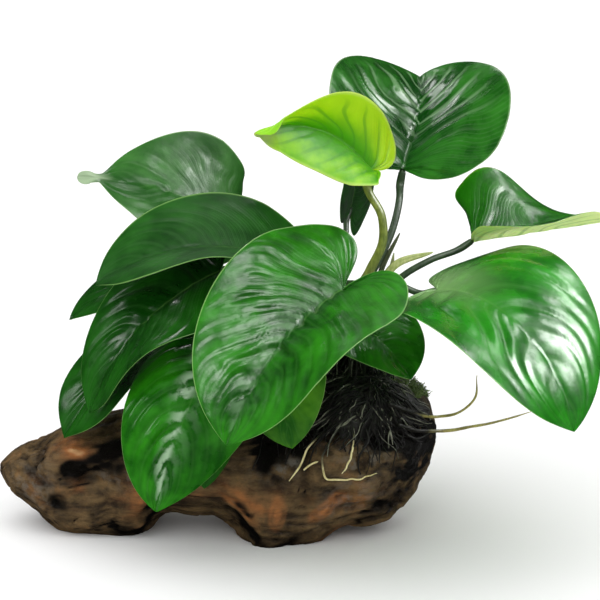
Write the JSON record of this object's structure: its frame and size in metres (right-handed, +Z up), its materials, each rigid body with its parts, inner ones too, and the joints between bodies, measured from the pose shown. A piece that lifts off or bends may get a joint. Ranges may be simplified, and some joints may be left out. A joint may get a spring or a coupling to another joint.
{
  "type": "anubias plant on driftwood",
  "caption": "Water plant with glossy heart-shaped leaves on upright stalks, its creeping stem and roots holding to a piece of driftwood that stands on its own.",
  "frame": {"origin": "on the ground, under the middle of the whole piece", "axes": "+Z up; +X along the log from its pointed end towards its blunt end; -Y towards the viewer of the front"},
  "size_m": [0.2474, 0.1775, 0.1891],
  "materials": {
    "leaf": "glossy, quilted between the side veins, with a thin pale margin",
    "young_leaf": "glossy yellow-green new leaf",
    "stalk": "smooth dark green, faintly ridged",
    "young_stalk": "smooth olive green",
    "rhizome": "ringed with leaf scars, olive green",
    "sheath": "papery, dry at the point",
    "root": "pale yellow to brown, wet",
    "root_mat": "tangle of fine dark roots",
    "moss": "short soft tufts",
    "driftwood": "wet, weathered grain with orange-brown worn places"
  },
  "bodies": {
    "root": {"driftwood": "driftwood", "leaf_back_left": "leaf", "leaf_back_right": "leaf", "leaf_behind_left": "leaf", "leaf_centre_low": "leaf", "leaf_edge_on": "leaf", "leaf_far_left": "leaf", "leaf_front": "leaf", "leaf_front_left": "leaf", "leaf_left": "leaf", "leaf_left_upper": "leaf", "leaf_right": "leaf", "leaf_right_lower": "leaf", "leaf_right_upper": "leaf", "leaf_small_front": "leaf", "leaf_top": "leaf", "leaf_top_left": "leaf", "leaf_young": "young_leaf", "moss": "moss", "rhizome": "rhizome", "root_back": "root", "root_front_1": "root", "root_front_2": "root", "root_front_3": "root", "root_front_4": "root", "root_front_5": "root", "root_mat": "root_mat", "root_right_high": "root", "root_right_low": "root", "sheath_olive": "sheath", "sheath_pale": "sheath", "sheath_spike": "sheath", "stalk_back_left": "stalk", "stalk_back_right": "stalk", "stalk_behind_left": "stalk", "stalk_centre_low": "stalk", "stalk_edge_on": "stalk", "stalk_far_left": "stalk", "stalk_front": "stalk", "stalk_front_left": "stalk", "stalk_left": "stalk", "stalk_left_upper": "stalk", "stalk_right": "stalk", "stalk_right_lower": "stalk", "stalk_right_upper": "stalk", "stalk_small_front": "stalk", "stalk_top": "stalk", "stalk_top_left": "stalk", "stalk_young": "young_stalk"}
  },
  "joints": []
}
